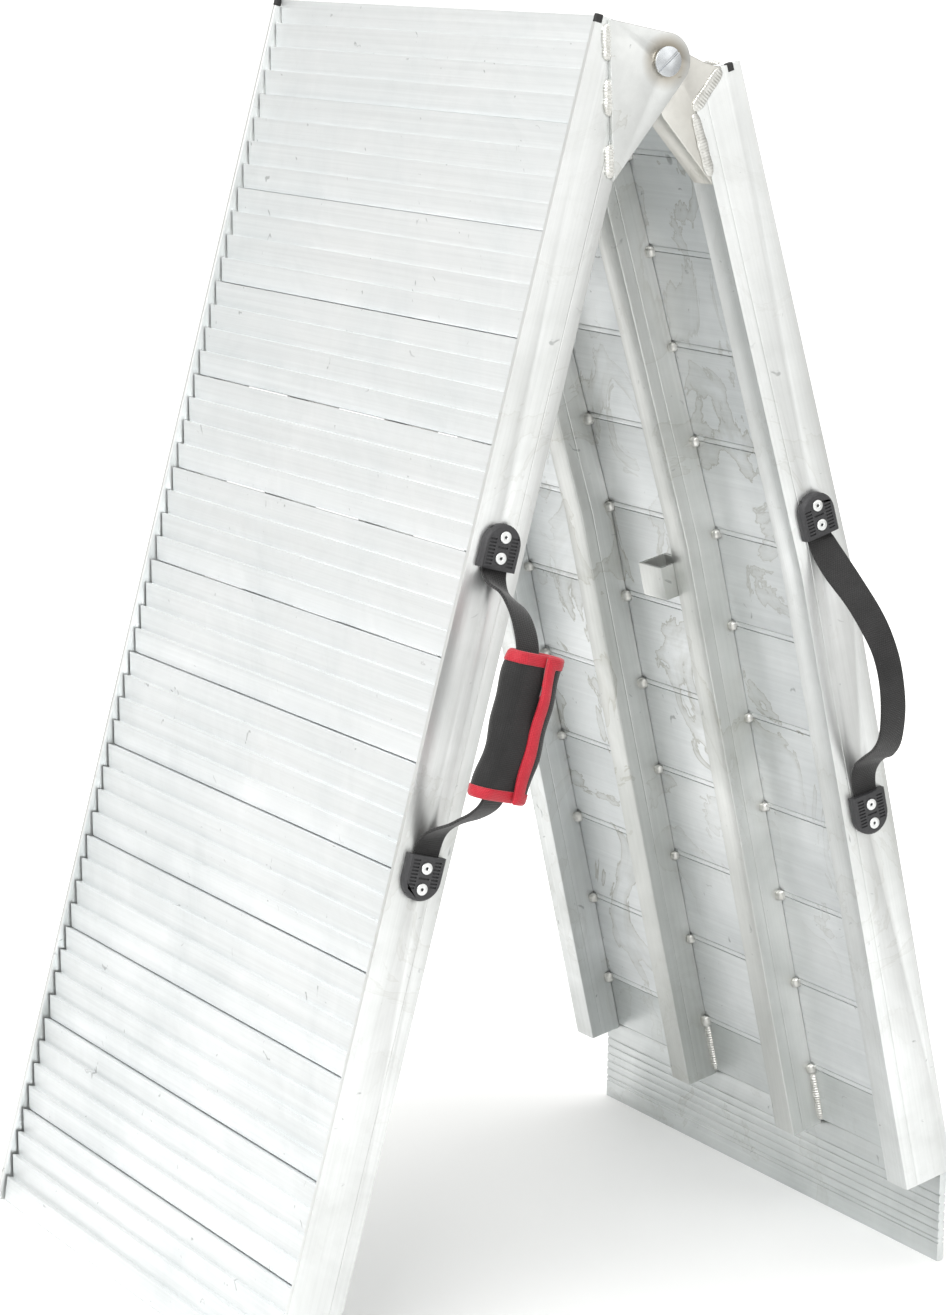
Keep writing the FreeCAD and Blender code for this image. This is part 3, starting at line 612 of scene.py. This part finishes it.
def smooth_line(knots, count):
    """count evenly spread points through the knots: cubic Hermite pieces, slopes (next - previous) / 2."""
    knots = np.asarray(knots, float) / 1000
    slope = np.gradient(knots, axis=0)
    at = np.linspace(0, len(knots) - 1, count * 4)
    i = np.minimum(at.astype(int), len(knots) - 2)
    u = (at - i)[:, None]
    line = ((2 * u ** 3 - 3 * u ** 2 + 1) * knots[i] + (u ** 3 - 2 * u ** 2 + u) * slope[i]
            + (3 * u ** 2 - 2 * u ** 3) * knots[i + 1] + (u ** 3 - u ** 2) * slope[i + 1])
    far = np.concatenate([[0], np.cumsum(np.linalg.norm(np.diff(line, axis=0), axis=1))])
    even = np.linspace(0, far[-1], count)
    return np.stack([np.interp(even, far, line[:, k]) for k in range(line.shape[1])], axis=1)


def set_weave(piece, weave):
    """Stores where each point lies in the cloth, (across, along, 0) in metres."""
    lay = piece.data.attributes.new("weave", "FLOAT_VECTOR", "POINT")
    lay.data.foreach_set("vector", weave.astype(np.float32).ravel())


def tube_mesh(name, rings, weave, material):
    """Closed cloth tube from rings (count, around, 3), with flat ends."""
    count, around = rings.shape[:2]
    piece = put_mesh(name, rings.reshape(-1, 3), bead_faces(count, around, 0), material)
    set_weave(piece, weave)
    face_outwards(piece)
    return piece


def cloth(name, base, light, rib, rough, slant):
    """Woven cloth: sin(2 pi (across + slant * along) / rib) + sin(2 pi along / rib) as tone and bump."""
    made, tree = blank_material(name)
    lay = node(tree, "ShaderNodeAttribute", attribute_name="weave")
    part = node(tree, "ShaderNodeSeparateXYZ", {0: lay.outputs["Vector"]})
    lean = node(tree, "ShaderNodeMath", {0: part.outputs[1], 1: slant}, operation="MULTIPLY")
    warp = node(tree, "ShaderNodeMath", {0: part.outputs[0], 1: lean.outputs[0]}, operation="ADD")
    ribs = []
    for line in (warp.outputs[0], part.outputs[1]):
        turn = node(tree, "ShaderNodeMath", {0: line, 1: 2 * math.pi / rib}, operation="MULTIPLY")
        ribs.append(node(tree, "ShaderNodeMath", {0: turn.outputs[0]}, operation="SINE"))
    both = node(tree, "ShaderNodeMath", {0: ribs[0].outputs[0], 1: ribs[1].outputs[0]}, operation="ADD")
    fuzz = node(tree, "ShaderNodeTexNoise", {"Vector": lay.outputs["Vector"], "Scale": 900.0, "Detail": 2.0})
    worn = node(tree, "ShaderNodeTexNoise", {"Vector": lay.outputs["Vector"], "Scale": 60.0, "Detail": 3.0})
    mixed = node(tree, "ShaderNodeMath", {0: both.outputs[0], 1: 0.25, 2: fuzz.outputs["Fac"]},
                 operation="MULTIPLY_ADD")
    share = node(tree, "ShaderNodeMath", {0: mixed.outputs[0], 1: worn.outputs["Fac"]}, operation="MULTIPLY")
    tone = node(tree, "ShaderNodeMix", {0: share.outputs[0], 6: linear(base), 7: linear(light)},
                data_type="RGBA")
    relief = node(tree, "ShaderNodeBump", {"Strength": 0.5, "Distance": rib * 0.3,
                                           "Height": mixed.outputs[0]})
    surface = node(tree, "ShaderNodeBsdfPrincipled",
                   {"Base Color": tone.outputs[2], "Roughness": rough, "Specular IOR Level": 0.35,
                    "Sheen Weight": 0.25, "Sheen Roughness": 0.4, "Normal": relief.outputs[0]})
    node(tree, "ShaderNodeOutputMaterial", {"Surface": surface.outputs[0]})
    return made


# drawn with ribs 1.6 mm apart, twice the real thread, or they would be too fine to see
webbing = cloth("black nylon webbing, twill woven", "#151515", "#3C3B3C", 0.0016, 0.62, 0.5)
# one edge of each strap, then the other, in mm: (distance down from the handle's middle, height off the rail)
strap_edges = {
    "lower": ([(-130, 2.2), (-105, 2.2), (-99, 5), (-94, 15), (-91, 31), (-85, 43), (-74, 57), (-58, 70),
               (-40, 75), (0, 75.5), (38, 75), (52, 72), (62, 62), (69, 50), (76, 37), (82, 22), (89, 9),
               (97, 3), (105, 2.2), (130, 2.2)],
              [(-130, 2.2), (-105, 2.2), (-96, 5), (-89, 12), (-85, 24), (-82, 37), (-76, 49), (-65, 61),
               (-52, 68), (-30, 70.5), (0, 71), (36, 70), (50, 66), (58, 58), (66, 43), (72, 27), (79, 13),
               (88, 4.5), (103, 2.2), (130, 2.2)]),
    "upper": ([(-130, 2.2), (-104, 2.2), (-90, 4), (-75, 15), (-58, 35), (-41, 49), (-22, 60), (1, 62),
               (25, 57), (45, 49), (58, 37), (68, 21), (77, 8.5), (88, 3), (104, 2.2), (130, 2.2)],
              [(-130, 2.2), (-104, 2.2), (-98, 6), (-88, 15), (-72, 30), (-51, 48), (-33, 58), (-12, 63),
               (12, 62), (33, 57), (56, 46), (69, 33), (74, 22), (80, 13), (90, 5), (104, 2.2), (130, 2.2)]),
}
strap_half = 0.01025
strap_thick = 0.0022
for half in ("lower", "upper"):
    middle, chord, across = handle_frame(half)
    edges = [smooth_line(knots, 200) for knots in strap_edges[half]]
    v = np.linspace(-1, 1, 13)
    share = v[None, :, None]
    flat = (edges[0][:, None, :] * (1 - share) + edges[1][:, None, :] * (1 + share)) / 2
    top = middle + flat[..., :1] * chord - flat[..., 1:] * y_axis + share * strap_half * across
    run = np.gradient(top, axis=0)
    side = np.gradient(top, axis=1)
    out = np.cross(run, side)
    out = out / np.linalg.norm(out, axis=2, keepdims=True)
    out = out * np.sign(-(out[..., 1:2]))
    domed = 0.00025 * (1 - share ** 2)
    rings = np.concatenate([top + out * domed, (top - out * strap_thick)[:, ::-1]], axis=1)
    far = np.concatenate([[0], np.cumsum(np.linalg.norm(np.diff(top[:, 6], axis=0), axis=1))])
    wide = np.concatenate([v, v[::-1]])[None, :] * strap_half + 0 * far[:, None]
    weave = np.stack([wide, np.broadcast_to(far[:, None], wide.shape), 0 * wide], axis=-1)
    strap = tube_mesh(half + "_strap_woven", rings, weave, webbing)
    soften = strap.modifiers.new("woven edges", "BEVEL")
    soften.width = 0.0006
    soften.segments = 2
    soften.limit_method = "ANGLE"
    soften.angle_limit = math.radians(50)
    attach(strap, half + "_half")
    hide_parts(half + "_handle_strap")

# ---- end caps and blind rivets: charcoal nylon mouldings with ladder slots, each held by two bright rivets.
# Moulded nylon has a fine spark-eroded grain; each snapped steel mandrel end is drawn near black, the steel's own
# dull tone with painted shade of the rivet's bore.
nylon = matt("charcoal nylon, moulded", "#2C2C2E", "#434345", 0.5, 700.0, 0.0002)
bright = clouded_metal("aluminium blind rivet, headed", "#F4F5F5", "#DDDFDF", 0.3, 300.0)
# near black: the mandrel steel's dull tone plus painted shade of the rivet's bore
stub = matt("steel mandrel, snapped, painted bore shade", "#17181A", "#2E2F31", 0.45, 900.0, 0.0002)
rivet_step = 0.0075
stub_off = 0.0058
sides = 12
turn = np.linspace(0, 2 * math.pi, sides, endpoint=False)
rim = np.stack([np.cos(turn), 0 * turn, np.sin(turn)], axis=1)
# each mandrel stub outwards from stub_off outside the rail's face: (radius, height)
stub_steps = ((0.00105, 0.0), (0.00105, 0.0004), (0.0006, 0.0008))
for half in ("lower", "upper"):
    for end in ("top", "bottom"):
        eased(f"{half}_handle_cap_{end}", half + "_half", nylon, 0.0003)
        eased(f"{half}_handle_rivets_{end}", half + "_half", bright, 0.0004)
    place, centre = handle_ends[half]
    points = []
    faces = []
    for at in (-spread - rivet_step, -spread + rivet_step, spread - rivet_step, spread + rivet_step):
        hub = place(centre + at, rail_middle, -half_w - stub_off)
        faces += bead_faces(len(stub_steps), sides, len(points) * sides)
        points += [hub + rim * radius - y_axis * height for radius, height in stub_steps]
    stubs = put_mesh(half + "_rivet_mandrels", np.concatenate(points), faces, stub)
    face_outwards(stubs)
    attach(stubs, half + "_half")

# ---- grip sleeve: a padded nylon wrap laid round the lower strap and lapped over itself at the front.
# Foam between two layers of cloth, its ends and lapping edge bound with red tape folded over and sewn.
sleeve_cloth = cloth("black nylon cloth over foam", "#171717", "#353435", 0.0013, 0.7, 0.0)
tape_cloth = cloth("red nylon binding tape, folded and sewn", "#9E0D22", "#E23A4A", 0.0011, 0.5, 0.0)
middle, chord, across = handle_frame("lower")
sleeve_from = -0.0550
sleeve_to = 0.0470
centre_h = 0.0730
wrap_half = 0.0196
wrap_deep = 0.0079
pad_half = 0.0018
wrap_tilt = math.radians(9.0)


def wrap_line(count):
    """(w, h) round the wrap's middle layer and its length: a stadium from under the lap to the lap's edge.

    It starts at the front right, runs left over the front, back under, and laps over its own start.
    """
    flat = wrap_half - wrap_deep
    bend = math.pi * wrap_deep
    lap = 0.007
    start = 0.0105
    total = start + flat + bend + 2 * flat + bend + (flat - lap) + 0.004
    d = np.linspace(0, total, count)
    w = np.empty(count)
    h = np.empty(count)
    grow = 0.0038 * np.clip((d - (start + flat + bend + flat)) / (flat + bend), 0, 1)
    a0 = start + flat
    a1 = a0 + bend
    a2 = a1 + 2 * flat
    a3 = a2 + bend
    front = d < a0
    w[front] = start - d[front]
    h[front] = wrap_deep
    left_turn = (d >= a0) & (d < a1)
    ang = (d[left_turn] - a0) / wrap_deep
    w[left_turn] = -flat - wrap_deep * np.sin(ang)
    h[left_turn] = wrap_deep * np.cos(ang)
    back = (d >= a1) & (d < a2)
    w[back] = -flat + d[back] - a1
    h[back] = -wrap_deep
    right_turn = (d >= a2) & (d < a3)
    ang = (d[right_turn] - a2) / wrap_deep
    w[right_turn] = flat + (wrap_deep + grow[right_turn] * 0.5) * np.sin(ang)
    h[right_turn] = -wrap_deep * np.cos(ang)
    over = d >= a3
    w[over] = flat - (d[over] - a3)
    h[over] = wrap_deep
    h = h + grow * np.clip((h + wrap_deep) / (2 * wrap_deep), 0, 1)
    return w, h, d


around = 120
lengthwise = 56
w_line, h_line, d_line = wrap_line(around)
total = float(d_line[-1])


def wrap_at(a, d, lift):
    """Points of the wrap: a down the handle, d round the wrap, lift off its middle layer along its normal."""
    w = np.interp(d, d_line, w_line)
    h = np.interp(d, d_line, h_line)
    fine = 1e-4
    dw = np.interp(d + fine, d_line, w_line) - np.interp(d - fine, d_line, w_line)
    dh = np.interp(d + fine, d_line, h_line) - np.interp(d - fine, d_line, h_line)
    size = np.hypot(dw, dh) + 1e-12
    sag = 0.0011 * np.sin(a * 75 + 0.6) * np.sin(d * 90 + 1.1) + 0.0006 * np.sin(a * 170 + d * 60)
    w = w + dh / size * (lift + sag)
    h = h - dw / size * (lift + sag)
    bow = 0.0022 * (1 - (2 * (a - sleeve_from) / (sleeve_to - sleeve_from) - 1) ** 2)
    ww = w * math.cos(wrap_tilt) + h * math.sin(wrap_tilt)
    hh = h * math.cos(wrap_tilt) - w * math.sin(wrap_tilt)
    lean = 0.002 * (2 * (a - sleeve_from) / (sleeve_to - sleeve_from) - 1)
    right = (ww - lean)[..., None]
    off_rail = (centre_h + hh + bow)[..., None]
    return middle + a[..., None] * chord + right * across - off_rail * y_axis


def panel_point(a, d, depth):
    """wrap_at with d shrunk by up to 2.8 % down the handle: the flap reaches 4 mm further round at the top."""
    down = (a - sleeve_from) / (sleeve_to - sleeve_from)
    return wrap_at(a, d * (1 - 0.028 * down), depth)


def perimeter(inset):
    """(a, d) along the bound edge: the top end, down the lap's edge, and back along the bottom end.

    It lies inset metres inside the panel's outline, with corners of 1.5 mm.
    """
    corner = 0.0015
    r = max(corner - inset, 0.0009)
    a0 = sleeve_from + inset
    a1 = sleeve_to - inset
    d1 = total - inset
    turn = np.linspace(0, math.pi / 2, 9)
    top = np.stack([np.full(150, a0), np.linspace(0.0015, d1 - r, 150)], axis=1)
    bend_1 = np.stack([a0 + r - r * np.cos(turn), d1 - r + r * np.sin(turn)], axis=1)
    edge = np.stack([np.linspace(a0 + r, a1 - r, 90), np.full(90, d1)], axis=1)
    bend_2 = np.stack([a1 - r + r * np.sin(turn), d1 - r + r * np.cos(turn)], axis=1)
    bottom = np.stack([np.full(150, a1), np.linspace(d1 - r, 0.0015, 150)], axis=1)
    return np.concatenate([top, bend_1[1:-1], edge, bend_2[1:-1], bottom])


# the padded panel: full thickness inside, thinning to the bound edges
share_a = np.linspace(0, 1, lengthwise)
share_d = np.linspace(0, 1, around)
grid_a, grid_d = np.meshgrid(sleeve_from + 0.0006 + share_a * (sleeve_to - sleeve_from - 0.0012),
                             0.0006 + share_d * (total - 0.0012), indexing="ij")
edge_gap = np.minimum(np.minimum(grid_a - sleeve_from, sleeve_to - grid_a),
                      np.minimum(grid_d, total - grid_d))
thin_from = 0.012
puff = pad_half * (0.5 + 0.5 * np.sqrt(np.clip(edge_gap / thin_from, 0, 1)))
outer = panel_point(grid_a, grid_d, puff)
inner = panel_point(grid_a, grid_d, -puff)
rings = np.concatenate([outer, inner[:, ::-1]], axis=1)
weave = np.stack([np.concatenate([grid_d, grid_d[:, ::-1]], axis=1), np.concatenate([grid_a, grid_a], axis=1),
                  np.zeros((lengthwise, 2 * around))], axis=-1)
count, about = rings.shape[:2]
ring = np.arange(count * about).reshape(count, about)
after = np.roll(ring, -1, axis=1)
faces = np.stack([ring[:-1], ring[1:], after[1:], after[:-1]], axis=-1).reshape(-1, 4).tolist()
for row in (ring[0], ring[-1]):
    faces += [[row[i], row[i + 1], row[about - 2 - i], row[about - 1 - i]] for i in range(around - 1)]
sleeve = put_mesh("grip_sleeve_padded", rings.reshape(-1, 3), faces, sleeve_cloth)
set_weave(sleeve, weave)
face_outwards(sleeve)
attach(sleeve, "lower_half")
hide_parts("grip_sleeve")

# the tape: folded over the panel's edge, 7.5 mm wide on each face, thin enough to follow the padding
# each row: metres in from the edge, share of the padding's thickness, and metres proud of it
section = [(0.0075, 1.42, 0.0003), (0.0070, 1.42, 0.0008), (0.0040, 1.16, 0.0009), (0.0010, 0.95, 0.0009),
           (-0.0006, 0.55, 0.0004), (-0.0009, 0.0, 0.0), (-0.0006, -0.55, -0.0004), (0.0010, -0.95, -0.0009),
           (0.0040, -1.16, -0.0009), (0.0070, -1.42, -0.0008), (0.0075, -1.42, -0.0003), (0.0072, -1.0, 0.0),
           (0.0012, -0.5, 0.0), (0.0002, 0.0, 0.0), (0.0012, 0.5, 0.0), (0.0072, 1.0, 0.0)]
rails = []
for inset, lift, proud in section:
    line = perimeter(inset)
    puffed = pad_half * (0.5 + 0.5 * math.sqrt(min(max(inset, 0.0) / thin_from, 1)))
    depth = np.sign(lift) * min(abs(lift), 1) * puffed + proud
    rails.append(panel_point(line[:, 0], line[:, 1], np.full(len(line), depth)))
rings = np.stack(rails, axis=1)
far = np.concatenate([[0], np.cumsum(np.linalg.norm(np.diff(rings[:, 5], axis=0), axis=1))])
wide = np.array([0.0, 0.0005, 0.0035, 0.0065, 0.0080, 0.0085, 0.0090, 0.0105, 0.0135, 0.0165, 0.017, 0.017,
                 0.011, 0.0085, 0.006, 0.0])
weave = np.stack([np.broadcast_to(wide, rings.shape[:2]), np.broadcast_to(far[:, None], rings.shape[:2]),
                  np.zeros(rings.shape[:2])], axis=-1)
tape = tube_mesh("grip_sleeve_tape", rings, weave, tape_cloth)
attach(tape, "lower_half")
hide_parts("grip_sleeve_binding")
